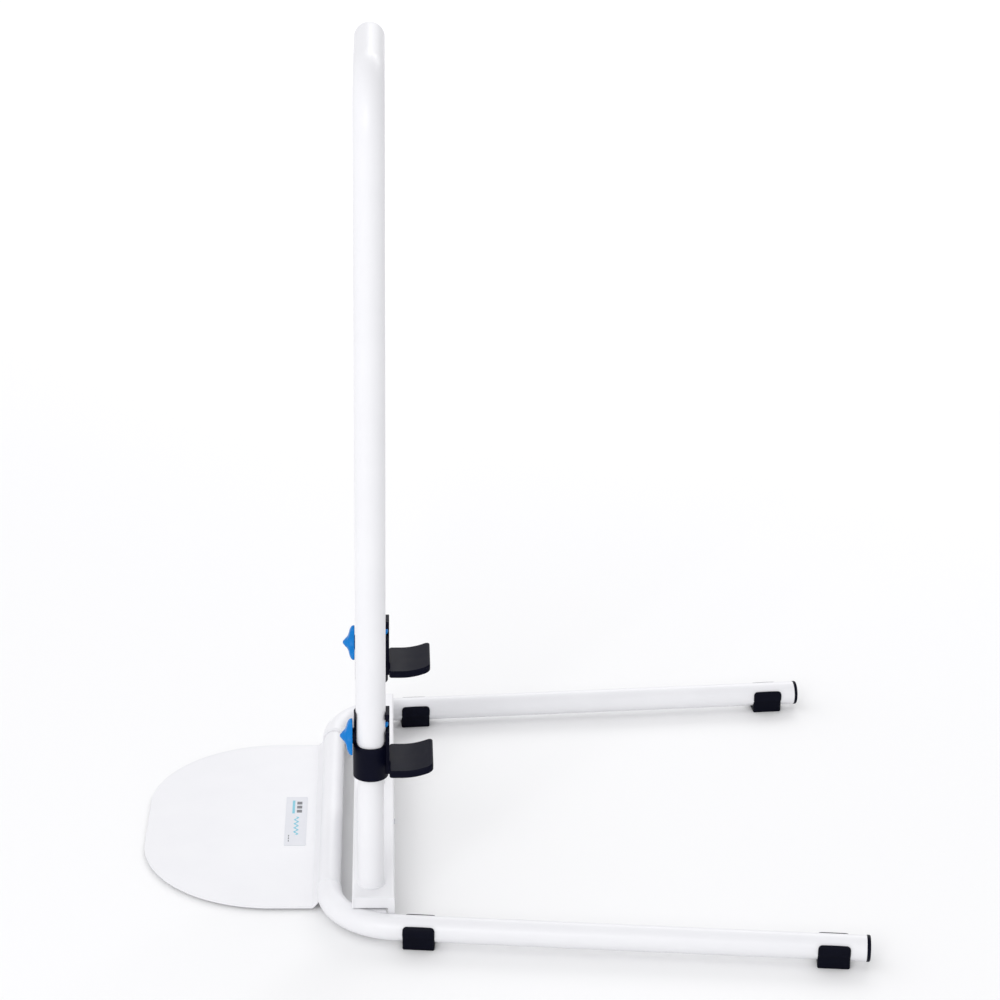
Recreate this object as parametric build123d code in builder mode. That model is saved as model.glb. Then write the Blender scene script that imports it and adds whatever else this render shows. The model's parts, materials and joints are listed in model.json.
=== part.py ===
"""Bed assist rail: an inverted-U handle on two posts, on a floor frame that reaches under the bed.

Frame of reference, in millimetres: the origin is on the floor at the middle of the footprint,
+X points to the bed (the way the legs run), +Y runs along the bed and +Z is up.
"""

import os
from math import cos, radians, sin, sqrt, tan

from build123d import *

# Driving dimensions of the whole rail
overall_length = 791.0          # round edge of the plate to the faces of the leg plugs
overall_height = 954.0          # floor to the top of the handle, at its highest setting

# Handle and posts
handle_radius = 16.0            # 32 mm tube
handle_bore = 14.4
handle_bend = 58.0              # bend radius of the tube's centre line
post_spacing = 236.0
post_near_y = -219.0            # the handle stands towards one side of the base
post_radius = 14.0              # 28 mm tube
post_bore = 12.5
post_top = 420.0

# Base
base_half_width = 263.0         # leg centre line to the middle, measured beside the posts
leg_splay = 5.27                # degrees that each leg turns outwards
leg_radius = 14.0
leg_bore = 12.6
leg_bend = 80.0
leg_height = 19.5               # floor to the tube's centre line
cross_radius = 12.5
cross_to_post = 46.0            # cross tube's centre line to the posts' plane
crossbar_width = 46.0
crossbar_shift = 2.5            # the crossbar's middle lies this far to the bed side of the posts
crossbar_top = 48.0
crossbar_bottom = 28.0
crossbar_wall = 2.0
crossbar_end_gap = 11.5         # the crossbar's ends stop this far inside the legs' centre lines

# Stand-on plate
plate_reach = 203.0             # round edge to the straight edge
plate_half_width = 197.0
plate_corner = 150.0
plate_gauge = 2.5
pad_height = 3.0

# Height setting
setting_pitch = 20.0            # distance between two height settings
setting_count = 7
button_height = 240.0
button_radius = 4.0

# Clamp brackets and their knobs
collar_bottom = 180.0
collar_radius = 18.8
collar_height = 37.7
shell_top = 255.0
shell_radius = 17.8
ledge_half_width = 33.0
ledge_reach = 66.5              # post centre to the ledge's tip
ledge_tops = {"near": 200.0, "far": 204.5}     # the two mouldings are not quite alike
ledge_gauge = 8.3
ledge_rise = 8.0                # the tip stands this much higher than the root
knob_height = 226.0
knob_radius = 22.0
knob_depth = 13.6
stud_radius = 3.0

# Places that follow from these
plate_edge_x = -overall_length / 2
plug_face_x = overall_length / 2
cross_x = plate_edge_x + plate_reach + cross_radius - 2.0
post_x = cross_x + cross_to_post
post_ys = {"near": post_near_y, "far": post_near_y + post_spacing}
sides = {"near": -1, "far": 1}
loop_bottom = collar_bottom + 4.0
crossbar_x = post_x + crossbar_shift
seam_y = base_half_width - 82.0 # where a leg's short arm meets the cross tube
plug_head = 4.0
leg_end_x = plug_face_x - plug_head - 1.13

os.makedirs("parts", exist_ok=True)


def save(piece, name):
    """Labels a finished piece and writes its file."""
    piece.label = name
    export_step(piece, f"parts/{name}.step")


def leg_line(x, side):
    """Y of a leg's centre line at x, on the side -1 or +1."""
    return side * (base_half_width + tan(radians(leg_splay)) * (x - post_x))


def across_leg(x, side):
    """Plane across a leg at x: its x axis is level, its y axis is up, its z axis runs along the leg."""
    turn = radians(side * leg_splay)
    return Plane(origin=(x, leg_line(x, side), leg_height),
                 x_dir=(-sin(turn), cos(turn), 0), z_dir=(cos(turn), sin(turn), 0))


def leg_route(side):
    """Centre line of a leg: short arm beside the cross tube, bend, and the long arm under the bed."""
    return FilletPolyline((cross_x, side * seam_y), (cross_x, leg_line(cross_x, side)),
                          (leg_end_x, leg_line(leg_end_x, side)), radius=leg_bend)


# Handle loop: one bent tube, with the row of setting holes on the bed side of each leg of the U
# and one hole for the clamp stud on the user's side.

def make_handle_loop():
    near_y, far_y = post_ys["near"], post_ys["far"]
    top = overall_height - handle_radius
    with BuildPart() as handle_loop:
        with BuildLine(Plane.YZ.offset(post_x)):
            FilletPolyline((near_y, loop_bottom), (near_y, top), (far_y, top), (far_y, loop_bottom),
                           radius=handle_bend)
        with BuildSketch(Plane((post_x, near_y, loop_bottom))):
            Circle(handle_radius)
            Circle(handle_bore, mode=Mode.SUBTRACT)
        sweep()
        for y in post_ys.values():
            for step in range(setting_count):
                z = button_height + step * setting_pitch
                with BuildSketch(Plane(origin=(post_x, y, z), z_dir=(1, 0, 0))):
                    Circle(button_radius + 0.5)
                extrude(amount=2 * handle_radius, mode=Mode.SUBTRACT)
            with BuildSketch(Plane(origin=(post_x, y, knob_height), z_dir=(-1, 0, 0))):
                Circle(stud_radius + 1.2)
            extrude(amount=2 * handle_radius, mode=Mode.SUBTRACT)
    save(handle_loop.part, "handle_loop")


# Lower posts: straight tubes welded to the crossbar, each with one hole for its snap button.
# A plastic glide plug in the top of each post runs in the handle tube.

def make_lower_post(place, y):
    with BuildPart() as lower_post:
        with BuildSketch(Plane((post_x, y, crossbar_top))):
            Circle(post_radius)
            Circle(post_bore, mode=Mode.SUBTRACT)
        extrude(amount=post_top - crossbar_top)
        with BuildSketch(Plane(origin=(post_x, y, button_height), z_dir=(1, 0, 0))):
            Circle(button_radius + 0.05)
        extrude(amount=2 * post_radius, mode=Mode.SUBTRACT)
    save(lower_post.part, f"lower_post_{place}")


def make_post_glide(place, y):
    head_height, stem_length, stem_wall = 6.0, 22.0, 2.0
    with BuildPart() as post_glide:
        with BuildSketch(Plane((post_x, y, post_top))):
            Circle(handle_bore - 0.06)
            Circle(post_bore - 0.1 - stem_wall, mode=Mode.SUBTRACT)
        extrude(amount=head_height)
        with BuildSketch(Plane((post_x, y, post_top))):
            Circle(post_bore - 0.1)
            Circle(post_bore - 0.1 - stem_wall, mode=Mode.SUBTRACT)
        extrude(amount=-stem_length)
        chamfer(post_glide.faces().sort_by(Axis.Z)[-1].outer_wire().edges(), 1.2)
    save(post_glide.part, f"post_glide_{place}")


def make_post_weld_beads():
    bead = 1.6
    with BuildPart() as post_weld_beads:
        for y in post_ys.values():
            with BuildSketch(Plane(origin=(post_x, y, crossbar_top), x_dir=(1, 0, 0), z_dir=(0, -1, 0))):
                with BuildLine():
                    Line((post_radius, 0), (post_radius + bead, 0))
                    RadiusArc((post_radius + bead, 0), (post_radius, bead), -1.2 * bead)
                    Line((post_radius, bead), (post_radius, 0))
                make_face()
            revolve(axis=Axis((post_x, y, crossbar_top), (0, 0, 1)))
    save(post_weld_beads.part, "post_weld_beads")


# Snap buttons: a domed button in each post, pushed out through both tubes by a coil spring that
# stands against the far wall of the post.

def make_snap_button(place, y):
    flange_radius, flange_back, flange_front, shank_end, tip = 5.4, 8.6, 10.6, 16.6, 19.0
    rise = tip - shank_end
    dome_radius = (button_radius**2 + rise**2) / (2 * rise)
    with BuildPart() as snap_button:
        with BuildSketch(Plane(origin=(post_x, y, button_height), x_dir=(1, 0, 0), z_dir=(0, -1, 0))):
            with BuildLine():
                Polyline((flange_back, 0), (flange_back, flange_radius), (flange_front, flange_radius),
                         (flange_front, button_radius), (shank_end, button_radius))
                RadiusArc((shank_end, button_radius), (tip, 0), dome_radius)
                Line((tip, 0), (flange_back, 0))
            make_face()
        revolve(axis=Axis((post_x, y, button_height), (1, 0, 0)))
    save(snap_button.part, f"snap_button_{place}")


def make_snap_spring(place, y):
    wire, coil_radius, turns = 0.45, 3.6, 6
    start, end = -11.0, 8.0
    with BuildPart() as snap_spring:
        with BuildLine() as coil:
            Helix(pitch=(end - start) / turns, height=end - start, radius=coil_radius,
                  center=(post_x + start, y, button_height), direction=(1, 0, 0))
        with BuildSketch(Plane(origin=coil.line @ 0, z_dir=coil.line % 0)):
            Circle(wire)
        sweep(path=coil.line, is_frenet=True)
    save(snap_spring.part, f"snap_spring_{place}")


# Clamp brackets: one nylon moulding on each end of the handle tube. A collar closes the tube's end,
# a taller shell with an open window stands on it, and a ledge for the bed's side rail sticks out
# on the bed side. A boss on the user's side holds a brass insert for the clamp knob.

def ledge_profile(height):
    """Points of the ledge's upper or lower line: level at the root, then curving up to the tip."""
    root, flat_end = 20.1, 33.0
    return (root, height), (flat_end, height), (ledge_reach, height + ledge_rise)


def make_bracket(place, y):
    lip, bore, boss_radius, boss_end = 3.5, handle_radius + 0.1, 8.5, 19.1
    window_half, window_corner = 15.7, 6.0
    flange_inner, flange_x, flange_from, flange_to = 10.0, 20.1, -9.0, 12.0
    neck_end, edge_round, tip_round, root_round = 24.0, 1.4, 6.0, 3.0
    window_bottom = collar_bottom + collar_height
    ledge_top = ledge_tops[place]
    flange_bottom = ledge_top - 15.5
    notch_half = button_radius + 2.5
    insert_radius = 5.0
    side_view = Plane(origin=(post_x, y, 0), x_dir=(1, 0, 0), z_dir=(0, -1, 0))
    with BuildPart() as bracket:
        # ledge, rounded at its corners and along its upper and lower edges
        top, under = ledge_profile(ledge_top), ledge_profile(ledge_top - ledge_gauge)
        with BuildSketch(side_view):
            with BuildLine():
                Line(under[0], under[1])
                TangentArc(under[1], under[2], tangent=(1, 0))
                Line(under[2], top[2])
                TangentArc(top[1], top[2], tangent=(1, 0))
                Line(top[1], top[0])
                Line(top[0], under[0])
            make_face()
        extrude(amount=ledge_half_width, both=True)
        uprights = bracket.edges().filter_by(Axis.Z, tolerance=20).group_by(Axis.X)
        fillet(uprights[-1], tip_round)
        fillet(bracket.edges().filter_by(Axis.Z, tolerance=20).group_by(Axis.X)[0], root_round)
        fillet(bracket.faces().sort_by(Axis.Z)[-1].outer_wire().edges(), edge_round)
        # collar, shell, the flange beside the tube, the neck to the ledge and the boss
        with BuildSketch(Plane((post_x, y, collar_bottom))):
            Circle(collar_radius)
        extrude(amount=collar_height)
        with BuildSketch(Plane((post_x, y, collar_bottom + collar_height))):
            Circle(shell_radius)
        extrude(amount=shell_top - window_bottom)
        with BuildSketch(Plane((post_x, y, flange_bottom))):
            with Locations(((flange_inner + flange_x) / 2, (flange_from + flange_to) / 2)):
                Rectangle(flange_x - flange_inner, flange_to - flange_from)
        extrude(amount=shell_top - flange_bottom)
        with BuildSketch(Plane((post_x, y, ledge_top - ledge_gauge))):
            with Locations(((flange_inner + neck_end) / 2, (flange_from + flange_to) / 2)):
                Rectangle(neck_end - flange_inner, flange_to - flange_from)
        extrude(amount=ledge_gauge)
        with BuildSketch(Plane(origin=(post_x, y, knob_height), z_dir=(-1, 0, 0))):
            Circle(boss_radius)
        extrude(amount=boss_end)
        # bore for the handle tube, with the lip under its end
        with BuildSketch(Plane((post_x, y, collar_bottom + lip))):
            Circle(bore)
        extrude(amount=overall_height, mode=Mode.SUBTRACT)
        with BuildSketch(Plane((post_x, y, 0))):
            Circle(post_radius + 0.4)
        extrude(amount=overall_height, mode=Mode.SUBTRACT)
        # window on the outer side, with rounded lower corners, and the notch beside the button
        with BuildSketch(side_view):
            with Locations((0, window_bottom + shell_top - collar_bottom)):
                RectangleRounded(2 * window_half, 2 * (shell_top - collar_bottom), window_corner)
        extrude(amount=2 * collar_radius, mode=Mode.SUBTRACT)
        with BuildSketch(Plane(origin=(post_x, y, button_height), x_dir=(0, 1, 0), z_dir=(1, 0, 0))):
            Circle(notch_half)
            with Locations((flange_from, 0)):
                Rectangle(-2 * flange_from, 2 * notch_half)
        extrude(amount=2 * collar_radius, mode=Mode.SUBTRACT)
        # seat of the brass insert
        with BuildSketch(Plane(origin=(post_x, y, knob_height), z_dir=(-1, 0, 0))):
            Circle(insert_radius)
        extrude(amount=2 * collar_radius, mode=Mode.SUBTRACT)
    save(bracket.part, f"bracket_{place}")


def make_insert(place, y):
    inner, outer, insert_radius, thread_play, edge = 16.3, 21.6, 4.98, 0.05, 0.4
    with BuildPart() as insert:
        with BuildSketch(Plane(origin=(post_x - inner, y, knob_height), z_dir=(-1, 0, 0))):
            Circle(insert_radius)
            Circle(stud_radius + thread_play, mode=Mode.SUBTRACT)
        extrude(amount=outer - inner)
        chamfer(insert.faces().sort_by(Axis.X)[0].edges(), edge)
    save(insert.part, f"threaded_insert_{place}")


# Clamp knobs: three lobes round a long nose, hollow beneath around the insert, each with a
# moulded-in steel stud. Both are tight against their brackets.

knob_back = 19.2                               # post centre to the knob's back face
knob_turns = {"near": 16.9, "far": 21.5}       # degrees that the first lobe is turned


def make_knob(place, y):
    lobe_radius, hub_radius, valley_round = 5.6, 9.0, 3.0
    recess_radius, recess_depth, stud_depth = 6.6, 3.4, 9.5
    nose_round = 2.4
    outline_steps = ((0, 0), (0, knob_radius), (2.2, knob_radius), (5.2, knob_radius - 5.0),
                     (6.6, 11.0), (8.8, 6.6), (knob_depth - 1.2, nose_round))
    level = Plane(origin=(post_x - knob_back, y, knob_height), x_dir=(0, 1, 0), z_dir=(-1, 0, 0))
    with BuildPart() as knob:
        with BuildSketch(level) as outline:
            Circle(hub_radius)
            with PolarLocations(0, 3, start_angle=knob_turns[place]):
                with Locations(((knob_radius - lobe_radius) / 2, 0)):
                    Rectangle(knob_radius - lobe_radius, 2 * lobe_radius)
                with Locations((knob_radius - lobe_radius, 0)):
                    Circle(lobe_radius)
            fillet(outline.vertices().filter_by(
                lambda v: (v.center() - level.origin).length < hub_radius + 1.0), valley_round)
        extrude(amount=knob_depth)
        with BuildSketch(Plane(origin=level.origin, x_dir=(-1, 0, 0), z_dir=(0, 1, 0))):
            with BuildLine():
                Polyline(*outline_steps)
                RadiusArc(outline_steps[-1], (knob_depth, 0), 1.2 * nose_round)
                Line((knob_depth, 0), (0, 0))
            make_face()
        revolve(axis=Axis(level.origin, (-1, 0, 0)), mode=Mode.INTERSECT)
        with BuildSketch(level):
            Circle(recess_radius)
        extrude(amount=recess_depth, mode=Mode.SUBTRACT)
        with BuildSketch(level):
            Circle(stud_radius)
        extrude(amount=stud_depth, mode=Mode.SUBTRACT)
    save(knob.part, f"knob_{place}")


def make_knob_stud(place, y):
    below, inside, tip_chamfer = 4.8, 9.5, 0.6
    with BuildPart() as knob_stud:
        with BuildSketch(Plane(origin=(post_x - knob_back + below, y, knob_height), z_dir=(-1, 0, 0))):
            Circle(stud_radius)
        extrude(amount=below + inside)
        chamfer(knob_stud.faces().sort_by(Axis.X)[-1].edges(), tip_chamfer)
    save(knob_stud.part, f"knob_stud_{place}")


# Crossbar: a folded channel, open below, that lies between the legs and carries the posts. Its
# lower edges are cut to fit the legs, a flap closes most of each end, and a saddle plate welded
# to the leg reaches in under it. One blind rivet shows on its bed-side flange.

def cut_along_leg(side, radius):
    """Takes a leg's path at the given radius out of the part being built."""
    with BuildLine(Plane.XY.offset(leg_height)) as route:
        leg_route(side)
    with BuildSketch(Plane(origin=route.line @ 0, z_dir=route.line % 0)) as section:
        Circle(radius)
    sweep(sections=section.sketch, path=route.line, mode=Mode.SUBTRACT)


def make_crossbar():
    half_length = base_half_width - crossbar_end_gap
    depth = crossbar_top - crossbar_bottom
    fold, flap_set_in, flap_bottom, lip_width = 2.4, 1.2, 34.6, 7.0
    left, right = crossbar_x - crossbar_width / 2, crossbar_x + crossbar_width / 2
    window_width, window_length = 7.0, 11.0
    with BuildPart() as crossbar:
        with BuildSketch(Plane(origin=(crossbar_x, -half_length, crossbar_bottom),
                               x_dir=(1, 0, 0), z_dir=(0, -1, 0))):
            with Locations((0, depth / 2)):
                Rectangle(crossbar_width, depth)
            with Locations((0, (depth - crossbar_wall) / 2)):
                Rectangle(crossbar_width - 2 * crossbar_wall, depth - crossbar_wall, mode=Mode.SUBTRACT)
        extrude(amount=-2 * half_length)
        fillet(crossbar.edges().filter_by(Axis.Y).group_by(Axis.Z)[-1], fold)
        for side in sides.values():
            flap_middle = side * (half_length - flap_set_in - crossbar_wall / 2)
            with BuildSketch(Plane((0, flap_middle, flap_bottom))):
                with Locations((crossbar_x, 0)):
                    Rectangle(crossbar_width - 2 * crossbar_wall, crossbar_wall)
            extrude(amount=crossbar_top - crossbar_wall - flap_bottom)
            with BuildSketch(Plane((0, side * (half_length - crossbar_wall / 2), crossbar_bottom))):
                with Locations((right - lip_width / 2, 0)):
                    Rectangle(lip_width, crossbar_wall)
            extrude(amount=crossbar_top - crossbar_wall - crossbar_bottom)
            # small opening at the foot of the user-side flange, beside the leg's bend
            with BuildSketch(Plane((0, side * (half_length - window_length / 2), crossbar_bottom))):
                with Locations((left + window_width / 2, 0)):
                    Rectangle(window_width, window_length)
            extrude(amount=flap_bottom - crossbar_bottom, mode=Mode.SUBTRACT)
            cut_along_leg(side, leg_radius)
    save(crossbar.part, "crossbar")


def make_crossbar_saddle(place, side):
    gauge, bottom, width, inner_end, outer_end = 2.4, 29.6, 28.0, 228.0, 252.5
    with BuildPart() as crossbar_saddle:
        with BuildSketch(Plane((0, 0, bottom))):
            with Locations((crossbar_x, side * (inner_end + outer_end) / 2)):
                Rectangle(width, outer_end - inner_end)
        extrude(amount=gauge)
        cut_along_leg(side, leg_radius)
    save(crossbar_saddle.part, f"crossbar_saddle_{place}")


def make_crossbar_rivet():
    head_radius, head_height, head_round, rivet_y, rivet_z = 3.2, 1.2, 0.9, -64.0, 40.0
    face_x = crossbar_x + crossbar_width / 2
    with BuildPart() as crossbar_rivet:
        with BuildSketch(Plane(origin=(face_x, rivet_y, rivet_z), z_dir=(1, 0, 0))):
            Circle(head_radius)
        extrude(amount=head_height)
        fillet(crossbar_rivet.faces().sort_by(Axis.X)[-1].edges(), head_round)
    save(crossbar_rivet.part, "crossbar_rivet")


# Floor frame: a cross tube on the user's side whose ends sit inside the short arms of two bent legs.

def make_cross_tube():
    half_length = seam_y + 4.5
    with BuildPart() as cross_tube:
        with BuildSketch(Plane(origin=(cross_x, -half_length, leg_height), z_dir=(0, 1, 0))):
            Circle(cross_radius)
            Circle(cross_radius - 1.5, mode=Mode.SUBTRACT)
        extrude(amount=2 * half_length)
    save(cross_tube.part, "cross_tube")


def make_leg(place, side):
    with BuildPart() as leg:
        with BuildLine(Plane.XY.offset(leg_height)):
            leg_route(side)
        with BuildSketch(Plane(origin=(cross_x, side * seam_y, leg_height), z_dir=(0, side, 0))):
            Circle(leg_radius)
            Circle(leg_bore, mode=Mode.SUBTRACT)
        sweep()
    save(leg.part, f"leg_{place}")


def make_leg_plug(place, side):
    stem_length = 18.0
    with BuildPart() as leg_plug:
        with BuildSketch(across_leg(leg_end_x, side)):
            Circle(leg_radius + 0.3)
        extrude(amount=plug_head)
        fillet(leg_plug.faces().sort_by(Axis.X)[-1].edges(), 1.8)
        with BuildSketch(across_leg(leg_end_x, side)):
            Circle(leg_bore - 0.05)
            Circle(leg_bore - 2.5, mode=Mode.SUBTRACT)
        extrude(amount=-stem_length)
    save(leg_plug.part, f"leg_plug_{place}")


# Feet: C-shaped clips that snap on the legs from below, with a flat sole.

foot_places = {"inner": post_x + 52.0, "outer": post_x + 492.0}


def make_foot(place, side, which):
    length, wall, sole_half, sole_band, lip_angle, corner = 34.5, 3.0, 14.0, 2.0, 33.0, 4.0
    play, sole_round = 0.02, 1.6
    outer = leg_radius + wall
    far_out = 3 * outer
    with BuildPart() as foot:
        with BuildSketch(across_leg(foot_places[which], side)):
            Circle(outer)
            with Locations((0, sole_band / 2 - leg_height)):
                Rectangle(2 * sole_half, sole_band)
            make_hull()
            Circle(leg_radius + play, mode=Mode.SUBTRACT)
            with BuildLine():
                Polyline((0, 0), (far_out, far_out * tan(radians(lip_angle))), (far_out, far_out),
                         (-far_out, far_out), (-far_out, far_out * tan(radians(lip_angle))), close=True)
            make_face(mode=Mode.SUBTRACT)
        extrude(amount=length / 2, both=True)
        lips = foot.edges().filter_by(lambda edge: abs(edge.length - (wall - play)) < 0.05)
        fillet(lips, corner)
        fillet(foot.faces().sort_by(Axis.Z)[0].edges().filter_by(
            lambda edge: edge.length < length - 2.0), sole_round)
    save(foot.part, f"foot_{place}_{which}")


# Stand-on plate: flat sheet with a round outer edge, lifted on pads, and folded up along its
# straight edge to the cross tube. A plain label lies on it.

def make_stand_plate():
    left = plate_edge_x
    right = cross_x - cross_radius - 7.5
    corner, lip_rise, lip_run = 5.0, 10.0, 9.6
    z0 = pad_height
    with BuildPart() as stand_plate:
        with BuildSketch(Plane.XY.offset(z0)):
            with BuildLine():
                half = plate_half_width
                r = plate_corner
                Line((right, -half), (left + r, -half))
                RadiusArc((left + r, -half), (left, -half + r), r)
                Line((left, -half + r), (left, half - r))
                RadiusArc((left, half - r), (left + r, half), r)
                Line((left + r, half), (right, half))
                Line((right, half), (right, -half))
            make_face()
        extrude(amount=plate_gauge)
        with BuildSketch(Plane(origin=(right, 0, z0), x_dir=(1, 0, 0), z_dir=(0, -1, 0))):
            with BuildLine():
                Polyline((-0.01, 0), (1.0, 0), (lip_run, lip_rise), (lip_run, lip_rise + plate_gauge),
                         (0.0, plate_gauge), (-0.01, plate_gauge), close=True)
            make_face()
        extrude(amount=plate_half_width, both=True)
        with BuildSketch(Plane.XY):
            with Locations(((left + right + lip_run) / 2, 0)):
                Rectangle(right + lip_run - left, 2 * plate_half_width)
            with Locations(((left + right + lip_run) / 2 - 20.0, 0)):
                RectangleRounded(right + lip_run - left + 40.0, 2 * plate_half_width, corner,
                                 mode=Mode.SUBTRACT)
        extrude(amount=50.0, mode=Mode.SUBTRACT)
        with BuildSketch(Plane(origin=(cross_x, 0, leg_height), z_dir=(0, 1, 0))):
            Circle(cross_radius)
        extrude(amount=plate_half_width + 1.0, both=True, mode=Mode.SUBTRACT)
        for side in sides.values():
            with BuildSketch(Plane(origin=(cross_x, side * seam_y, leg_height), z_dir=(0, side, 0))):
                Circle(leg_radius)
            extrude(amount=plate_half_width - seam_y + 1.0, mode=Mode.SUBTRACT)
    save(stand_plate.part, "stand_plate")


def make_plate_pads():
    pad_radius, inset = 11.0, 30.0
    straight_edge = cross_x - cross_radius - inset
    with BuildPart() as plate_pads:
        with BuildSketch(Plane.XY):
            with Locations((plate_edge_x + inset, 0),
                           (plate_edge_x + 95.0, -145.0), (plate_edge_x + 95.0, 145.0),
                           (straight_edge, -plate_half_width + inset),
                           (straight_edge, plate_half_width - inset)):
                Circle(pad_radius)
        extrude(amount=pad_height)
    save(plate_pads.part, "plate_pads")


def make_plate_label():
    width, length, thickness, shift = 25.0, 118.0, 0.4, 42.0
    with BuildPart() as plate_label:
        with BuildSketch(Plane.XY.offset(pad_height + plate_gauge)):
            with Locations((cross_x - shift, 1.0)):
                RectangleRounded(width, length, 1.5)
        extrude(amount=thickness)
    save(plate_label.part, "plate_label")


make_handle_loop()
make_post_weld_beads()
for place, y in post_ys.items():
    make_lower_post(place, y)
    make_post_glide(place, y)
    make_snap_button(place, y)
    make_snap_spring(place, y)
    make_bracket(place, y)
    make_insert(place, y)
    make_knob(place, y)
    make_knob_stud(place, y)
make_crossbar()
make_crossbar_rivet()
make_cross_tube()
for place, side in sides.items():
    make_leg(place, side)
    make_leg_plug(place, side)
    make_crossbar_saddle(place, side)
    for which in foot_places:
        make_foot(place, side, which)
make_stand_plate()
make_plate_pads()
make_plate_label()
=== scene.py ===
"""Looks of the bed assist rail: its tubes, plate, clamps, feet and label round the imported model."""
import json

import bpy
import numpy as np
from mathutils import Matrix, Vector


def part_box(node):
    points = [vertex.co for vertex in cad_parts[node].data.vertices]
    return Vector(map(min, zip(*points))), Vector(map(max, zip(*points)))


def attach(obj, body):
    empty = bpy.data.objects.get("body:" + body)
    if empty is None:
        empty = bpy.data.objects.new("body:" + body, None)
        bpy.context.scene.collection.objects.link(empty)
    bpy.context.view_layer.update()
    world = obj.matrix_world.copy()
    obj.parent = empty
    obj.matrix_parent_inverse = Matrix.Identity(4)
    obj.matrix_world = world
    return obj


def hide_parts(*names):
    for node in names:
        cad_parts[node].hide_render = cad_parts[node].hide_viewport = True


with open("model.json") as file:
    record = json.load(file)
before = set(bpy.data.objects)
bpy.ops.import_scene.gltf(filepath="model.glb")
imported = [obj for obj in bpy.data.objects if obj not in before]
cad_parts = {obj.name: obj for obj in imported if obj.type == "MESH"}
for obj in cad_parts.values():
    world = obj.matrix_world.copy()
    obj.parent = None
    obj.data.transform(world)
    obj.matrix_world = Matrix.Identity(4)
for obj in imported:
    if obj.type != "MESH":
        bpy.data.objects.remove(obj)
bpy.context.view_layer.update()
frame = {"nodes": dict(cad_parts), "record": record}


# Studio. A seamless pale floor, a large soft light from the front left, a wider one high up behind
# the rail, and a sky that is brighter on the left. They are not part of the object.

def linear(hex_colour):
    """Turns an sRGB hex colour into Blender's linear RGBA, by the sRGB curve."""
    srgb = np.array([int(hex_colour[i:i + 2], 16) for i in (1, 3, 5)]) / 255.0
    rgb = np.where(srgb <= 0.04045, srgb / 12.92, ((srgb + 0.055) / 1.055) ** 2.4)
    return (*rgb, 1.0)


def put(tree, kind, inputs=(), **settings):
    """Adds one shader node, sets its properties, and sets or links its inputs by name or number."""
    node = tree.nodes.new(kind)
    for key, value in settings.items():
        setattr(node, key, value)
    for key, value in dict(inputs).items():
        if isinstance(value, bpy.types.NodeSocket):
            tree.links.new(value, node.inputs[key])
        else:
            node.inputs[key].default_value = value
    return node


def new_material(name):
    """A node material whose tree is empty, and that tree."""
    material = bpy.data.materials.new(name)
    material.use_nodes = True
    tree = material.node_tree
    tree.nodes.clear()
    return material, tree


def finish_material(tree, shader):
    """Links a shader to the tree's output."""
    put(tree, "ShaderNodeOutputMaterial", {"Surface": shader.outputs["BSDF"]})


def seamless_floor():
    """Matt pale paper that reaches past every view."""
    half = 12.0
    material, tree = new_material("seamless_paper_floor")
    shader = put(tree, "ShaderNodeBsdfPrincipled",
                 {"Base Color": linear("#F7F7F7"), "Roughness": 0.75, "Specular IOR Level": 0.25})
    finish_material(tree, shader)
    mesh = bpy.data.meshes.new("studio_floor")
    corners = [(-half, -half, 0), (half, -half, 0), (half, half, 0), (-half, half, 0)]
    mesh.from_pydata(corners, [], [(0, 1, 2, 3)])
    mesh.materials.append(material)
    floor = bpy.data.objects.new("studio_floor", mesh)
    bpy.context.collection.objects.link(floor)


def softbox(name, place, aim, size, watts):
    """White light from a rectangle of the given size that faces the point it aims at."""
    light = bpy.data.lights.new(name, "AREA")
    light.shape = "RECTANGLE"
    light.size, light.size_y = size
    light.energy = watts
    lamp = bpy.data.objects.new(name, light)
    bpy.context.collection.objects.link(lamp)
    lamp.location = place
    lamp.rotation_euler = (Vector(aim) - Vector(place)).to_track_quat("-Z", "Y").to_euler()


def studio_sky():
    """Near-white light from all round, whose strength falls from left to right."""
    world = bpy.data.worlds.new("studio_sky")
    world.use_nodes = True
    sky = world.node_tree
    direction = put(sky, "ShaderNodeTexCoord").outputs["Generated"]
    rightward = put(sky, "ShaderNodeSeparateXYZ", {"Vector": direction}).outputs["X"]
    strength = put(sky, "ShaderNodeMapRange", {"Value": rightward, "From Min": -0.6, "From Max": 0.9,
                                               "To Min": 0.96, "To Max": 0.63})
    sky.nodes["Background"].inputs["Color"].default_value = linear("#FDFDFF")
    sky.links.new(strength.outputs["Result"], sky.nodes["Background"].inputs["Strength"])
    bpy.context.scene.world = world
    bpy.context.scene.view_settings.view_transform = "Standard"


def camera():
    """A long lens in front of the rail's near side, above its top and looking down at it."""
    lens_mm, sensor_mm, clip_end = 108.0, 36.0, 60.0
    shift_x, shift_y = 0.0866, -0.0331
    place = Vector((-0.1199, -3.0846, 1.6604))
    pitch, yaw, roll = np.radians([21.476, 0.574, 0.143])
    ahead = Vector((np.sin(yaw) * np.cos(pitch), np.cos(yaw) * np.cos(pitch), -np.sin(pitch)))
    right = Vector((np.cos(yaw), -np.sin(yaw), 0.0))
    above = right.cross(ahead)
    right, above = (np.cos(roll) * right + np.sin(roll) * above,
                    np.cos(roll) * above - np.sin(roll) * right)
    lens = bpy.data.cameras.new("camera")
    lens.lens, lens.sensor_width, lens.clip_end = lens_mm, sensor_mm, clip_end
    lens.shift_x, lens.shift_y = shift_x, shift_y
    eye = bpy.data.objects.new("camera", lens)
    eye.matrix_world = Matrix((right, above, -ahead)).transposed().to_4x4()
    eye.location = place
    bpy.context.collection.objects.link(eye)
    bpy.context.scene.camera = eye


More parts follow.
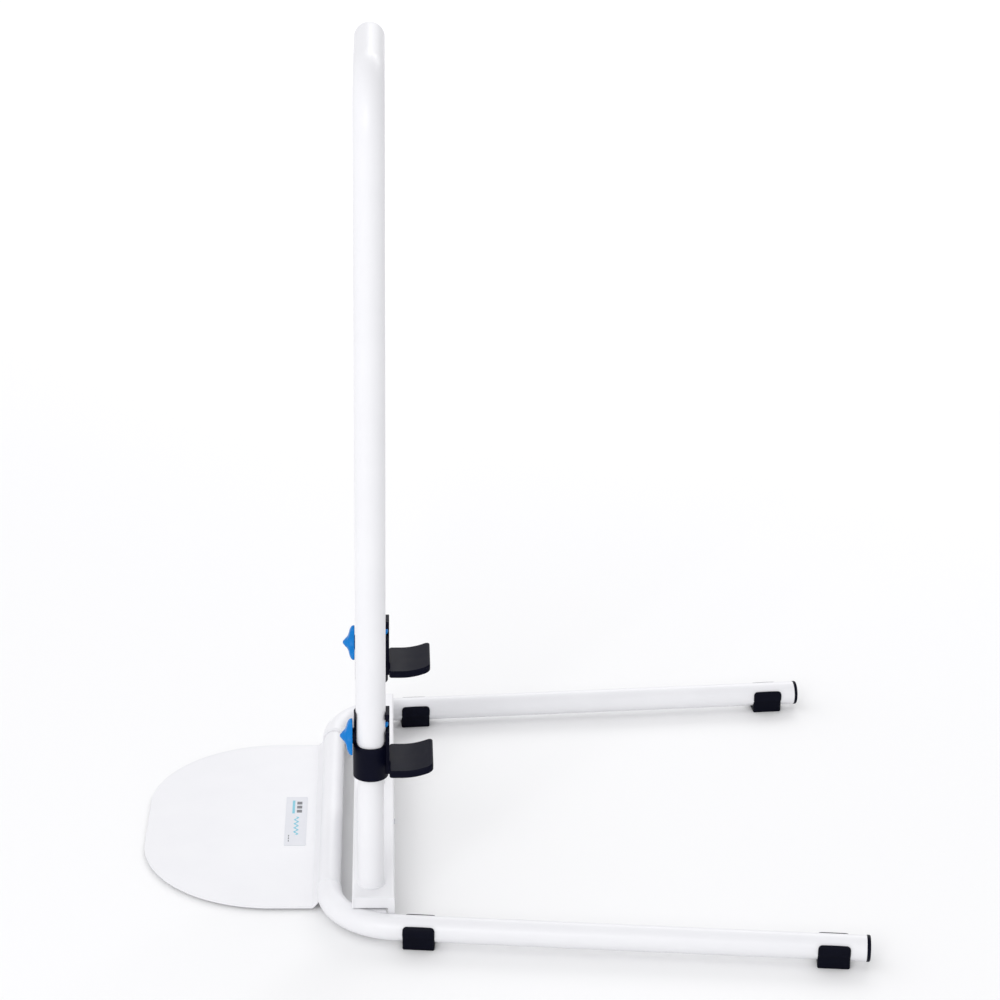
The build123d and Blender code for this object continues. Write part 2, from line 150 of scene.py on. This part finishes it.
seamless_floor()
softbox("key_softbox", place=(-1.5, -4.2, 2.7), aim=(0.0, 0.0, 0.3), size=(2.2, 2.2), watts=66.0)
softbox("back_softbox", place=(1.2, 4.6, 3.4), aim=(0.0, 2.2, 0.0), size=(4.0, 2.4), watts=80.0)
studio_sky()
camera()


# Tubes. All are drawn steel, bent cold and powder coated white: the 32 mm handle, the 28 mm posts
# that it slides on, the 25 mm cross tube and the two 28 mm legs sleeved over its ends.

finishes = {}


def finish(slot, material):
    """Puts a material on every CAD node of a slot, and keeps it for that slot's new pieces."""
    finishes[slot] = material
    for entry in frame["record"]["subparts"]:
        if entry["material_slot"] == slot:
            node = frame["nodes"][entry["node"]]
            node.data.materials.clear()
            node.data.materials.append(material)


def powder_coated_steel():
    """White powder coat: a satin skin whose orange peel breaks up the reflections, a little uneven
    in gloss where it flowed, and barely lighter or darker from place to place."""
    peel_mm, fine_mm, mottle_mm, depth_mm, fine_share = 2.2, 0.35, 60.0, 0.06, 0.3
    material, tree = new_material("powder_coated_steel")
    place = put(tree, "ShaderNodeTexCoord").outputs["Object"]
    mottle = put(tree, "ShaderNodeTexNoise", {"Vector": place, "Scale": 1000.0 / mottle_mm, "Detail": 3.0})
    tone = put(tree, "ShaderNodeMix", {"Factor": mottle.outputs["Fac"], "A": linear("#E6E6E9"),
                                       "B": linear("#EDEDEF")}, data_type="RGBA")
    peel = put(tree, "ShaderNodeTexNoise", {"Vector": place, "Scale": 1000.0 / peel_mm, "Detail": 1.0})
    fine = put(tree, "ShaderNodeTexNoise", {"Vector": place, "Scale": 1000.0 / fine_mm, "Detail": 2.0})
    skin = put(tree, "ShaderNodeMix", {"Factor": fine_share, "A": peel.outputs["Fac"],
                                       "B": fine.outputs["Fac"]})
    bump = put(tree, "ShaderNodeBump", {"Height": skin.outputs["Result"], "Strength": 0.5,
                                        "Distance": depth_mm / 1000.0})
    rough = put(tree, "ShaderNodeMapRange", {"Value": mottle.outputs["Fac"], "To Min": 0.40, "To Max": 0.50})
    shader = put(tree, "ShaderNodeBsdfPrincipled",
                 {"Base Color": tone.outputs["Result"], "Roughness": rough.outputs["Result"],
                  "Normal": bump.outputs["Normal"], "IOR": 1.5, "Coat Weight": 0.15, "Coat Roughness": 0.25})
    finish_material(tree, shader)
    return material


def closed_grid(points, wrap_rows, wrap_columns):
    """Quads over a grid of points, joined round at its rows' or columns' ends where asked."""
    rows, columns = points.shape[:2]
    i = np.arange(rows if wrap_rows else rows - 1)[:, None]
    j = np.arange(columns if wrap_columns else columns - 1)[None, :]
    below, beside = (i + 1) % rows, (j + 1) % columns
    return np.stack([i * columns + j, i * columns + beside, below * columns + beside,
                     below * columns + j], axis=-1).reshape(-1, 4)


def make_piece(name, points_mm, faces, slot, body, stands_for=(), sharp_degrees=35.0):
    """One object from points in millimetres and their faces, with normals outward, smooth but for
    edges that turn more than the given angle. It rides on a body and may stand for CAD nodes."""
    points = np.asarray(points_mm, float).reshape(-1, 3) / 1000
    a, b, c, d = (points[faces[:, k]] for k in range(4))
    volume = np.einsum("ij,ij->", a, np.cross(b, c)) + np.einsum("ij,ij->", a, np.cross(c, d))
    if volume < 0:
        faces = faces[:, ::-1]
    mesh = bpy.data.meshes.new(name)
    mesh.from_pydata(points.tolist(), [], faces.tolist())
    mesh.polygons.foreach_set("use_smooth", np.ones(len(faces), bool))
    mesh.materials.append(finishes[slot])
    mesh.update()
    mesh.set_sharp_from_angle(angle=np.radians(sharp_degrees))
    piece = bpy.data.objects.new(name, mesh)
    bpy.context.collection.objects.link(piece)
    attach(piece, body)
    if stands_for:
        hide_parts(*stands_for)
    return piece


def box_mm(node):
    """Lowest and highest corner of a CAD node, in millimetres."""
    low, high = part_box(node)
    return 1000.0 * np.array(low), 1000.0 * np.array(high)


def bent_line(corners, radius, steps=56):
    """Centre line through corners, each rounded by an arc c + (sin(w - t) p + sin(t) q) / sin(w)
    from p to q about c, where w is the turn."""
    corners = [np.asarray(corner, float) for corner in corners]
    line = [corners[0]]
    for before, corner, after in zip(corners, corners[1:], corners[2:]):
        back = (before - corner) / np.linalg.norm(before - corner)
        on = (after - corner) / np.linalg.norm(after - corner)
        half = np.arccos(back @ on) / 2
        turn = np.pi - 2 * half
        centre = corner + (back + on) / np.linalg.norm(back + on) * radius / np.sin(half)
        start, end = corner + back * radius / np.tan(half), corner + on * radius / np.tan(half)
        t = np.linspace(0, turn, steps + 1)[:, None]
        arc = np.sin(turn - t) * (start - centre) + np.sin(t) * (end - centre)
        line.extend(centre + arc / np.sin(turn))
    line.append(corners[-1])
    return np.array(line)


def tube_wall(line, level, outer, inner, around=96):
    """Closed wall round a flat centre line c(s), with n across it in its plane whose normal is m:
    p = c(s) + r (cos(a) n(s) + sin(a) m), out along the outside and back along the bore."""
    along = np.gradient(line, axis=0)
    along /= np.linalg.norm(along, axis=1)[:, None]
    level = np.asarray(level, float)
    across = np.cross(level, along)
    radius = np.broadcast_to(outer, len(line))
    rows = np.concatenate([np.arange(len(line)), np.arange(len(line))[::-1]])
    radii = np.concatenate([radius, np.full(len(line), inner)])
    a = np.linspace(0, 2 * np.pi, around, endpoint=False)
    ring = np.cos(a)[None, :, None] * across[rows][:, None, :] + np.sin(a)[None, :, None] * level
    return line[rows][:, None, :] + radii[:, None, None] * ring


def tube(name, line, level, outer, inner, body):
    """The tube that stands for a CAD node of that name."""
    points = tube_wall(line, level, outer, inner)
    return make_piece(name + "_tube", points, closed_grid(points, True, True), "white_powder_coat",
                      body, (name,))


def drill(piece, starts, direction, depth, radius, around=40):
    """Works round holes with drills p = start + t d + r (cos(a) (d x z) + sin(a) z), where t runs
    from 0 to the depth along the direction d. The discs inside the rims stay in the wall."""
    edge_degrees = 35.0
    direction, up = np.asarray(direction, float), np.array([0.0, 0.0, 1.0])
    a = np.linspace(0, 2 * np.pi, around, endpoint=False)[:, None]
    ring = radius * (np.cos(a) * np.cross(direction, up) + np.sin(a) * up)
    ends = np.array([[0.0], [depth]]) * direction
    points = np.asarray(starts)[:, None, None, :] + ends[None, :, None, :] + ring
    near = 2 * around * np.arange(len(starts))[:, None] + np.arange(around)
    far = near + around
    sides = np.stack([near, np.roll(near, -1, axis=1), np.roll(far, -1, axis=1), far], axis=-1)
    caps = near[:, ::-1].tolist() + far.tolist()
    mesh = bpy.data.meshes.new("drill")
    mesh.from_pydata((points.reshape(-1, 3) / 1000).tolist(), [], sides.reshape(-1, 4).tolist() + caps)
    cutter = bpy.data.objects.new("drill", mesh)
    bpy.context.collection.objects.link(cutter)
    cut = piece.modifiers.new("drill", "BOOLEAN")
    cut.operation, cut.solver, cut.object = "DIFFERENCE", "EXACT", cutter
    bpy.context.view_layer.update()
    whole = piece.evaluated_get(bpy.context.evaluated_depsgraph_get())
    drilled = bpy.data.meshes.new_from_object(whole)
    piece.modifiers.clear()
    drilled.name = piece.name
    piece.data = drilled
    drilled.set_sharp_from_angle(angle=np.radians(edge_degrees))
    bpy.data.objects.remove(cutter)


def handle_tube():
    """A U upside down, marked with a row of setting holes on the bed's side of each of its legs and
    one hole on the user's side for the clamp's stud."""
    wall, bend, hole_radius, stud_hole_radius = 1.6, 58.0, 4.5, 4.2
    pitch, count = 20.0, 7
    bedward, userward = (1, 0, 0), (-1, 0, 0)
    low, high = box_mm("handle_loop")
    radius, x = (high[0] - low[0]) / 2, (high[0] + low[0]) / 2
    near_y, far_y, top = low[1] + radius, high[1] - radius, high[2] - radius
    line = bent_line([(x, near_y, low[2]), (x, near_y, top), (x, far_y, top), (x, far_y, low[2])], bend)
    piece = tube("handle_loop", line, bedward, radius, radius - wall, "handle")
    button_low, button_high = box_mm("snap_button_near")
    stud_low, stud_high = box_mm("knob_stud_near")
    first, stud = (button_low[2] + button_high[2]) / 2, (stud_low[2] + stud_high[2]) / 2
    holes = [np.array([x, y, first + step * pitch]) for y in (near_y, far_y) for step in range(count)]
    drill(piece, holes, bedward, 2 * radius, hole_radius)
    stud_holes = [np.array([x, y, stud]) for y in (near_y, far_y)]
    drill(piece, stud_holes, userward, 2 * radius, stud_hole_radius)


def lower_post_tube(place):
    """A straight post, marked with one hole on the bed's side where its snap button stands out."""
    wall, hole_radius, rings, bedward = 1.5, 4.05, 5, (1, 0, 0)
    low, high = box_mm(f"lower_post_{place}")
    radius = (high[0] - low[0]) / 2
    x, y = (low[:2] + high[:2]) / 2
    line = np.array([(x, y, z) for z in np.linspace(low[2], high[2], rings)])
    piece = tube(f"lower_post_{place}", line, bedward, radius, radius - wall, "base")
    button_low, button_high = box_mm(f"snap_button_{place}")
    hole = np.array([x, y, (button_low[2] + button_high[2]) / 2])
    drill(piece, [hole], bedward, 2 * radius, hole_radius)


def cross_tube():
    """A straight tube between the legs' sleeve ends."""
    wall, rings, up = 1.5, 9, (0, 0, 1)
    low, high = box_mm("cross_tube")
    radius = (high[0] - low[0]) / 2
    x, z = (low[0] + high[0]) / 2, (low[2] + high[2]) / 2
    line = np.array([(x, y, z) for y in np.linspace(low[1], high[1], rings)])
    tube("cross_tube", line, up, radius, radius - wall, "base")


def leg_tube(place, side):
    """One bend and a straight run that splays outward. The sleeve end that takes the cross tube is
    rounded and has a crimp pressed in behind it, of depth d exp(-((s - s0) / w)^2)."""
    wall, bend, splay, up = 1.4, 80.0, np.radians(5.27), (0, 0, 1)
    crimp_at, crimp_width, crimp_depth, end_round = 3.2, 0.9, 0.9, 0.6
    sleeve_run, sleeve_rings = 8.0, 65
    low, high = box_mm(f"leg_{place}")
    radius = (high[2] - low[2]) / 2
    z = low[2] + radius
    seam, widest = min(abs(low[1]), abs(high[1])), max(abs(low[1]), abs(high[1]))
    x, end_x, end_y = low[0] + radius, high[0] - radius * np.sin(splay), widest - radius * np.cos(splay)
    corner_y = end_y - (end_x - x) * np.tan(splay)
    line = bent_line([(x, side * seam, z), (x, side * corner_y, z), (end_x, side * end_y, z)], bend)
    sleeve = np.array([(x, side * (seam + s), z) for s in np.linspace(0, sleeve_run, sleeve_rings)])
    line = np.concatenate([sleeve, line[1:]])
    s = np.linalg.norm(line - line[0], axis=1)
    outer = radius - crimp_depth * np.exp(-((s - crimp_at) / crimp_width) ** 2)
    start = np.clip(1 - s / end_round, 0, 1)
    outer = outer - end_round * (1 - np.sqrt(1 - start ** 2))
    tube(f"leg_{place}", line, up, outer, radius - wall, "base")


finish("white_powder_coat", powder_coated_steel())
handle_tube()
cross_tube()
for place, side in (("near", -1), ("far", 1)):
    lower_post_tube(place)
    leg_tube(place, side)


# Welds. A small bead with the ripples of a hand-held torch runs round the foot of each post, under
# the same powder coat.

def post_weld(place):
    """Bead of size b round a post: p = c + (R + b cos(v)) e(u) + b sin(v) z, with b rippled along u
    and wandering slowly."""
    bead, ripple, ripples, slant = 1.3, 0.13, 64, 2.0
    sink, rise, flatness, section_steps = 0.3, 0.45, 0.8, 19
    low, high = box_mm(f"lower_post_{place}")
    radius = (high[0] - low[0]) / 2
    x, y = (low[:2] + high[:2]) / 2
    u = np.linspace(0, 2 * np.pi, 8 * ripples, endpoint=False)[:, None]
    v = np.linspace(-np.pi / 2, np.pi, section_steps)[None, :]
    wander = 0.12 * np.sin(5 * u) + 0.08 * np.sin(11 * u + 1.0)
    size = bead + ripple * np.sin(ripples * u + slant * v) + wander
    reach = radius - sink + size * np.cos(v)
    height = low[2] + rise * bead + flatness * size * np.sin(v)
    return np.stack([x + reach * np.cos(u), y + reach * np.sin(u), height], axis=-1)


welds = np.array([post_weld(place) for place in ("near", "far")])
weld_faces = [closed_grid(weld, True, True) + k * weld[..., 0].size for k, weld in enumerate(welds)]
make_piece("post_welds", welds, np.concatenate(weld_faces), "white_powder_coat", "base",
           ("post_weld_beads",))


# Crossbar. A folded steel channel and the two saddle plates under it are powder coated with the
# tubes, and keep the CAD model's shapes. The rivet in its side is zinc plated.

def bare_metal(name, colour, roughness, mark_mm):
    """Small metalwork: a mirror-like metal dulled unevenly by plating grain and tool marks."""
    drift, depth_mm = 0.06, 0.02
    material, tree = new_material(name)
    place = put(tree, "ShaderNodeTexCoord").outputs["Object"]
    marks = put(tree, "ShaderNodeTexNoise", {"Vector": place, "Scale": 1000.0 / mark_mm, "Detail": 3.0})
    rough = put(tree, "ShaderNodeMapRange", {"Value": marks.outputs["Fac"], "To Min": roughness - drift,
                                             "To Max": roughness + drift})
    bump = put(tree, "ShaderNodeBump", {"Height": marks.outputs["Fac"], "Strength": 0.3,
                                        "Distance": depth_mm / 1000.0})
    shader = put(tree, "ShaderNodeBsdfPrincipled",
                 {"Base Color": linear(colour), "Roughness": rough.outputs["Result"], "Metallic": 1.0,
                  "Normal": bump.outputs["Normal"]})
    finish_material(tree, shader)
    return material


finish("zinc_steel", bare_metal("zinc_plated_steel", "#C9CBD0", roughness=0.34, mark_mm=0.8))


# Brackets, plugs and glides. The two brackets that clamp the handle and carry the ledges, the plugs
# in the legs' ends and the glides in the posts are moulded in black nylon, as in the CAD model.

def moulded_plastic(name, dark, light, roughness, grain_mm, depth_mm, shine=0.5):
    """Moulded plastic: even colour with the fine spark-eroded texture of its tool and a roughness
    that drifts a little, as flow and handling leave it."""
    flow_mm, drift = 14.0, 0.06
    material, tree = new_material(name)
    place = put(tree, "ShaderNodeTexCoord").outputs["Object"]
    cloud = put(tree, "ShaderNodeTexNoise", {"Vector": place, "Scale": 1000.0 / flow_mm, "Detail": 4.0})
    tone = put(tree, "ShaderNodeMix", {"Factor": cloud.outputs["Fac"], "A": linear(dark), "B": linear(light)},
               data_type="RGBA")
    grain = put(tree, "ShaderNodeTexNoise", {"Vector": place, "Scale": 1000.0 / grain_mm, "Detail": 3.0})
    bump = put(tree, "ShaderNodeBump", {"Height": grain.outputs["Fac"], "Strength": 0.6,
                                        "Distance": depth_mm / 1000.0})
    rough = put(tree, "ShaderNodeMapRange", {"Value": cloud.outputs["Fac"], "To Min": roughness - drift,
                                             "To Max": roughness + drift})
    shader = put(tree, "ShaderNodeBsdfPrincipled",
                 {"Base Color": tone.outputs["Result"], "Roughness": rough.outputs["Result"],
                  "Normal": bump.outputs["Normal"], "IOR": 1.49, "Specular IOR Level": shine})
    finish_material(tree, shader)
    return material


finish("black_nylon", moulded_plastic("moulded_nylon", "#030414", "#06081C", roughness=0.48,
                                      grain_mm=0.5, depth_mm=0.02, shine=0.08))


# Clamp knobs. Each is one glossy blue ABS moulding: three round-ended wings that fall away from a
# blunt nose, hollow behind, on a zinc-plated stud that screws through a turned brass insert.

def knob(place, turned):
    """Wings of outline R(a) under a cone h(r): p = (h(r) (1 - (r / R)^8)^(1/3), r cos(a), r sin(a)),
    then round the back's edge and into the hollow."""
    reach, wing, hub, depth = 22.0, 5.6, 8.6, 13.6
    recess, recess_depth, core, back_round = 6.6, 3.4, 3.0, 0.9
    waist_blend, edge_power, edge_root, around, out_steps = 7, 8, 1 / 3, 288, 40
    near_zero, sharp_degrees = 0.05, 50.0
    stud_low, stud_high = box_mm(f"knob_stud_{place}")
    y, z = (stud_low[1:] + stud_high[1:]) / 2
    back = box_mm(f"knob_{place}")[1][0]
    a = np.linspace(0, 2 * np.pi, around, endpoint=False)
    off = np.abs((a + np.pi / 3) % (2 * np.pi / 3) - np.pi / 3)
    middle = reach - wing
    in_tip = middle * np.sin(off) < wing
    tip = middle * np.cos(off) + np.sqrt(np.clip(wing ** 2 - (middle * np.sin(off)) ** 2, 0, None))
    flank = np.minimum(wing / np.maximum(np.sin(off), near_zero), np.where(in_tip, tip, np.inf))
    arm = np.where(in_tip & (tip * np.cos(off) > middle), tip, flank)
    outline = (arm ** waist_blend + hub ** waist_blend) ** (1 / waist_blend)
    cone_r = np.array([0.0, 1.6, 3.0, 4.6, 6.6, 9.0, 12.0, 16.0, 19.5, 22.5])
    cone_h = np.array([depth, depth - 0.4, depth - 1.7, 10.6, 8.6, 7.4, 6.5, 5.8, 4.7, 3.6])
    t = np.sin(np.linspace(0, np.pi / 2, out_steps))[:, None]
    fall = (1 - t ** edge_power) ** edge_root
    front = back_round + (np.interp(t * outline, cone_r, cone_h) - back_round) * fall
    w = np.array([0.5, 1.0, np.pi / 2])[:, None]
    hollow_r = np.array([recess, recess, core])[:, None]
    hollow_h = np.array([0.0, recess_depth, recess_depth])[:, None]
    level = np.ones((1, around))
    r = np.concatenate([t * outline, outline - back_round * (1 - np.cos(w)), hollow_r * level])
    height = np.concatenate([front, back_round * (1 - np.sin(w)) * level, hollow_h * level])
    turn = a - np.radians(turned)
    points = np.stack([back - height, y + r * np.cos(turn), z + r * np.sin(turn)], axis=-1)
    make_piece(f"knob_{place}_wings", points, closed_grid(points, False, True), "blue_plastic",
               f"clamp_knob_{place}", (f"knob_{place}",), sharp_degrees)


finish("blue_plastic", moulded_plastic("moulded_abs_blue", "#006CBA", "#0080D2", roughness=0.36,
                                       grain_mm=0.5, depth_mm=0.01, shine=0.22))
finish("brass", bare_metal("turned_brass", "#C9A95C", roughness=0.28, mark_mm=0.4))
knob("near", turned=16.9)
knob("far", turned=21.5)


# Snap buttons. They are blue ABS like the knobs, each pushed out through its post and the handle by
# a coil of spring wire. Buttons and springs keep the CAD model's shapes.

finish("spring_steel", bare_metal("spring_wire", "#9A9CA0", roughness=0.30, mark_mm=0.5))


# Feet. Each is a C-shaped clip of soft PVC, snapped on a leg from below: tangent sides run down from
# the round of the tube to a flat sole, and the lips' corners are rounded off.

def foot(place, side, which):
    """Section r(a) about the leg, from the sole's straight lines to the round, between the lips at
    a = -A(s) and A(s) along the clip: p = c + s e + r(a) (sin(a) n - cos(a) z)."""
    length, wall, sole_half, splay = 34.5, 3.0, 14.0, side * np.radians(5.27)
    lip, corner, edge, lip_bow, bore_gap, flank_foot = np.radians(120.0), 4.5, 1.8, 0.02, 0.02, 2.0
    blend, near_zero, sharp_degrees = 30, 0.05, 50.0
    edge_steps, long_steps, around_steps, lip_steps = 7, 41, 181, 9
    low, high = box_mm(f"foot_{place}_{which}")
    leg_low, leg_high = box_mm(f"leg_{place}")
    bore = (leg_high[2] - leg_low[2]) / 2
    z = leg_low[2] + bore
    x, y = (low[:2] + high[:2]) / 2
    outer, bore = bore + wall, bore + bore_gap
    slant = np.hypot(sole_half, z - flank_foot)
    shoulder = np.arctan2(sole_half, z - flank_foot) + np.arccos(outer / slant)
    rounding = edge * (1 - np.cos(np.linspace(0, np.pi / 2, edge_steps)))
    s = np.concatenate([-length / 2 + rounding,
                        np.linspace(-length / 2 + edge, length / 2 - edge, long_steps)[1:-1],
                        length / 2 - rounding[::-1]])
    beyond = np.clip((np.abs(s) - (length / 2 - corner)) / corner, 0, 1)
    top = lip - corner / outer * (1 - np.sqrt(1 - beyond ** 2)) - lip_bow * (2 * s / length) ** 2
    past_edge = np.clip((np.abs(s) - (length / 2 - edge)) / edge, 0, 1)
    shrink = edge * (1 - np.sqrt(1 - past_edge ** 2))
    a = top[:, None] * np.linspace(-1, 1, around_steps)[None, :]
    size = np.abs(a)
    sole = np.where(np.cos(size) > near_zero, z / np.maximum(np.cos(size), near_zero), np.inf)
    heel = sole_half / np.maximum(np.sin(size), near_zero)
    flank = outer / np.maximum(np.cos(np.clip(shoulder - size, 0, None)), near_zero)
    outside = (sole ** -blend + heel ** -blend + flank ** -blend) ** (-1 / blend)
    outside = np.where(size > shoulder, outer, np.minimum(outside, flank)) - shrink[:, None]
    half = (outside[:, -1:] - bore) / 2
    w = np.linspace(0, np.pi, lip_steps)[None, 1:-1]
    lip_r, lip_a = bore + half + half * np.cos(w), half / outer * np.sin(w)
    radius = np.concatenate([outside, lip_r, np.full_like(outside, bore), lip_r[:, ::-1]], axis=1)
    angle = np.concatenate([a, top[:, None] + lip_a, a[:, ::-1], -top[:, None] - lip_a[:, ::-1]], axis=1)
    middle = (outside + bore) / 2
    lip_middle = middle[:, :1] * np.ones_like(w), middle[:, -1:] * np.ones_like(w)
    centre = np.concatenate([middle, lip_middle[1], middle[:, ::-1], lip_middle[0]], axis=1)
    radius = np.concatenate([centre[:1], radius, centre[-1:]])
    angle, s = np.concatenate([angle[:1], angle, angle[-1:]]), np.concatenate([s[:1], s, s[-1:]])
    across, down = radius * np.sin(angle), -radius * np.cos(angle)
    points = np.stack([x + s[:, None] * np.cos(splay) - across * np.sin(splay),
                       y + s[:, None] * np.sin(splay) + across * np.cos(splay), z + down], axis=-1)
    make_piece(f"foot_{place}_{which}_clip", points, closed_grid(points, False, True),
               "black_foot_plastic", "base", (f"foot_{place}_{which}",), sharp_degrees)


finish("black_foot_plastic", moulded_plastic("moulded_soft_pvc", "#030410", "#060818", roughness=0.48,
                                             grain_mm=0.6, depth_mm=0.02, shine=0.08))
for place, side in (("near", -1), ("far", 1)):
    for which in ("inner", "outer"):
        foot(place, side, which)


# Stand-on plate. One 2.5 mm steel sheet with a half-round edge, folded up along its straight side to
# a lip that is welded to the cross tube, and powder coated like the rest. It lies on rubber pads.

def stand_plate():
    """Sheet along a line c(s) in XZ with normal n: p = c + t n, its half width w(s) in Y."""
    gauge, corner, lip_slope, lip_corner = 2.5, 150.0, 46.0, 5.0
    fold_gap, fold_radius, sharp_degrees = 7.5, 3.0, 50.0
    round_steps, flat_steps, fold_steps, lip_steps, across_steps, edge_steps = 90, 12, 9, 14, 41, 9
    low, high = box_mm("stand_plate")
    tube_low = box_mm("cross_tube")[0]
    left, half_width, half = low[0], high[1], gauge / 2
    fold_x, z = tube_low[0] - fold_gap, low[2] + half
    phi = np.linspace(0, np.pi / 2, round_steps)
    x_round = left + corner * (1 - np.cos(phi))
    w_round = half_width - corner + corner * np.sin(phi)
    x_flat = np.linspace(left + corner, fold_x, flat_steps)[1:]
    bend = np.linspace(0, np.radians(lip_slope), fold_steps)[1:]
    x_fold, z_fold = fold_x + fold_radius * np.sin(bend), z + fold_radius * (1 - np.cos(bend))
    run = np.linspace(0, high[0] - x_fold[-1] - half * np.sin(bend[-1]), lip_steps)[1:]
    x_lip, z_lip = x_fold[-1] + run, z_fold[-1] + run * np.tan(bend[-1])
    x = np.concatenate([x_round, x_flat, x_fold, x_lip])
    flat = np.zeros(len(x_round) + len(x_flat))
    height = np.concatenate([flat + z, z_fold, z_lip])
    slope = np.concatenate([flat, bend, np.full(len(x_lip), bend[-1])])
    width = np.concatenate([w_round, np.full(len(x) - len(w_round), half_width)])
    ends = np.clip((x - (x[-1] - lip_corner)) / lip_corner, 0, 1)
    width = width - lip_corner * (1 - np.sqrt(1 - ends ** 2))
    thick = half * np.sqrt(np.clip(1 - (1 - np.clip((x - left) / half, 0, 1)) ** 2, 0, 1))
    v = np.linspace(-1, 1, across_steps)
    w = np.linspace(0, np.pi, edge_steps)[1:-1]
    over = np.concatenate([v, np.ones_like(w), v[::-1], -np.ones_like(w)])
    side_out = np.concatenate([np.zeros_like(v), np.sin(w), np.zeros_like(v), -np.sin(w)])
    lift = np.concatenate([np.ones_like(v), np.cos(w), -np.ones_like(v), -np.cos(w)])
    y = over[None, :] * (width - half)[:, None] + side_out[None, :] * half
    offset = thick[:, None] * lift[None, :]
    points = np.stack([x[:, None] - offset * np.sin(slope)[:, None], y,
                       height[:, None] + offset * np.cos(slope)[:, None]], axis=-1)
    middle = points[-1:].copy()
    middle[..., 0], middle[..., 2] = x[-1], height[-1]
    points = np.concatenate([points, middle])
    make_piece("stand_plate_sheet", points, closed_grid(points, False, True), "white_powder_coat",
               "base", ("stand_plate",), sharp_degrees)


finish("pad_rubber", moulded_plastic("pad_rubber", "#1A1A1C", "#222224", roughness=0.70, grain_mm=0.4,
                                     depth_mm=0.03))
stand_plate()


# Label. A pale printed film stuck on the plate, with a made-up mark of bars, a stripe and a wave in
# teal and near-black ink. The ink stands a hair above the film.

def printed_ink(name, colour, film):
    """Screen ink: satin and solid, with a little of the film showing through where it is thin."""
    cover_mm, thinnest = 1.2, 0.35
    material, tree = new_material(name)
    place = put(tree, "ShaderNodeTexCoord").outputs["Object"]
    cover = put(tree, "ShaderNodeTexNoise", {"Vector": place, "Scale": 1000.0 / cover_mm, "Detail": 3.0})
    thin = put(tree, "ShaderNodeMapRange", {"Value": cover.outputs["Fac"], "To Min": 0.0,
                                            "To Max": thinnest})
    tone = put(tree, "ShaderNodeMix", {"Factor": thin.outputs["Result"], "A": linear(colour),
                                       "B": linear(film)}, data_type="RGBA")
    shader = put(tree, "ShaderNodeBsdfPrincipled", {"Base Color": tone.outputs["Result"], "Roughness": 0.4})
    finish_material(tree, shader)
    return material


def ribbon(start, end, offset, width, wave=0.0, waves=0.0):
    """Flat ribbon along Y from start to end: p = (offset + wave sin(2 pi waves t) +- width / 2, y)."""
    t = np.linspace(0, 1, 61 if wave else 2)
    x = offset + wave * np.sin(2 * np.pi * waves * t)
    y = start + (end - start) * t
    return np.stack([np.stack([x - width / 2, y], -1), np.stack([x + width / 2, y], -1)], axis=1)


def label_print(name, material, ribbons):
    """One mesh of ribbons in one ink, placed from the middle of the label's film."""
    lift = 0.03
    low, high = box_mm("plate_label")
    centre = (low + high) / 2
    points, faces = [], []
    for flat in ribbons:
        faces.append(closed_grid(flat, False, False)[:, ::-1] + sum(len(rows) for rows in points))
        rows = flat.reshape(-1, 2) + centre[:2]
        points.append(np.column_stack([rows, np.full(len(rows), high[2] + lift)]))
    mesh = bpy.data.meshes.new(name)
    mesh.from_pydata((np.concatenate(points) / 1000).tolist(), [], np.concatenate(faces).tolist())
    mesh.materials.append(material)
    ink = bpy.data.objects.new(name, mesh)
    bpy.context.collection.objects.link(ink)
    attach(ink, "base")


finish("label_film", moulded_plastic("label_film", "#D3D4DA", "#DBDCE1", roughness=0.35, grain_mm=0.8,
                                     depth_mm=0.004))
stripe = ribbon(start=18.0, end=50.0, offset=-3.4, width=3.0)
wave = ribbon(start=-34.0, end=10.0, offset=0.5, width=2.6, wave=1.8, waves=4.5)
label_print("label_teal_print", printed_ink("teal_screen_ink", "#48B7CE", film="#D7D8DD"), [stripe, wave])
bar_length, dash_length = 7.0, 4.0
bars = [ribbon(start, start + bar_length, offset=3.4, width=6.0) for start in (20.0, 30.0, 40.0)]
dashes = [ribbon(start, start + dash_length, offset=-7.5, width=1.2) for start in (-50.0, -44.0, -38.0)]
label_print("label_dark_print", printed_ink("dark_screen_ink", "#2A2E38", film="#D7D8DD"), bars + dashes)
